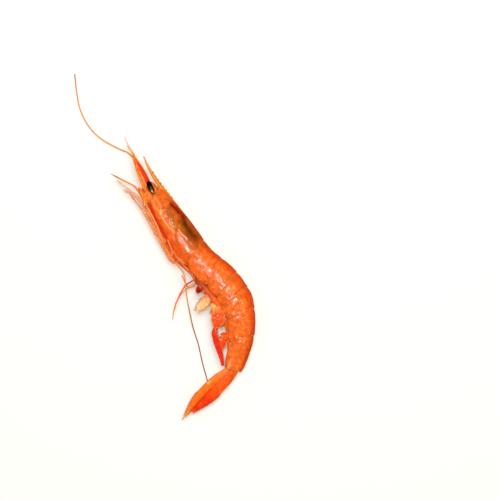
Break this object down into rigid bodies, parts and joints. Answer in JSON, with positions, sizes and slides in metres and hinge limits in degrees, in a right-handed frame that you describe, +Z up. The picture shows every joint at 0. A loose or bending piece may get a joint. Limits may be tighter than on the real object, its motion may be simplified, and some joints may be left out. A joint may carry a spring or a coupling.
{
  "type": "raw shrimp",
  "caption": "Whole raw red shrimp with its head, shell, legs and tail fan on, lying on its side in a gentle curve.",
  "frame": {"origin": "middle of the underside of the bounding box, on the surface that the shrimp lies on", "axes": "+Z up from the surface, towards the shrimp's left side, which is up; +Y along the length of the bounding box, from the tail fan towards the head; +X across, from the belly and legs towards the back"},
  "size_m": [0.0948, 0.179, 0.0141],
  "materials": {
    "shell": "wet, slightly translucent orange shell",
    "tail_blade": "wet thin orange-red shell, ribbed along its length",
    "head_blade": "wet thin orange-red shell",
    "swimming_leg": "wet translucent red skin with pale edges",
    "leg": "wet translucent pink-orange shell, paler towards the tip",
    "feeler": "glossy golden brown, ringed",
    "eye": "wet, almost black"
  },
  "bodies": {
    "root": {"carapace": "shell", "abdomen_1": "shell", "abdomen_2": "shell", "abdomen_3": "shell", "abdomen_4": "shell", "abdomen_5": "shell", "abdomen_6": "shell", "telson": "tail_blade", "uropod_exopod_left": "tail_blade", "uropod_endopod_left": "tail_blade", "uropod_exopod_right": "tail_blade", "uropod_endopod_right": "tail_blade", "eye_left": "eye", "antennal_scale_left": "head_blade", "antennule_left": "feeler", "antenna_left": "feeler", "maxilliped_left": "leg", "pereiopod_1_left": "leg", "pereiopod_2_left": "leg", "pereiopod_3_left": "leg", "pereiopod_4_left": "leg", "pereiopod_5_left": "leg", "pleopod_1_left": "swimming_leg", "pleopod_2_left": "swimming_leg", "pleopod_3_left": "swimming_leg", "pleopod_4_left": "swimming_leg", "pleopod_5_left": "swimming_leg", "eye_right": "eye", "antennal_scale_right": "head_blade", "antennule_right": "feeler", "antenna_right": "feeler", "maxilliped_right": "leg", "pereiopod_1_right": "leg", "pereiopod_2_right": "leg", "pereiopod_3_right": "leg", "pereiopod_4_right": "leg", "pereiopod_5_right": "leg", "pleopod_1_right": "swimming_leg", "pleopod_2_right": "swimming_leg", "pleopod_3_right": "swimming_leg", "pleopod_4_right": "swimming_leg", "pleopod_5_right": "swimming_leg"}
  },
  "joints": []
}
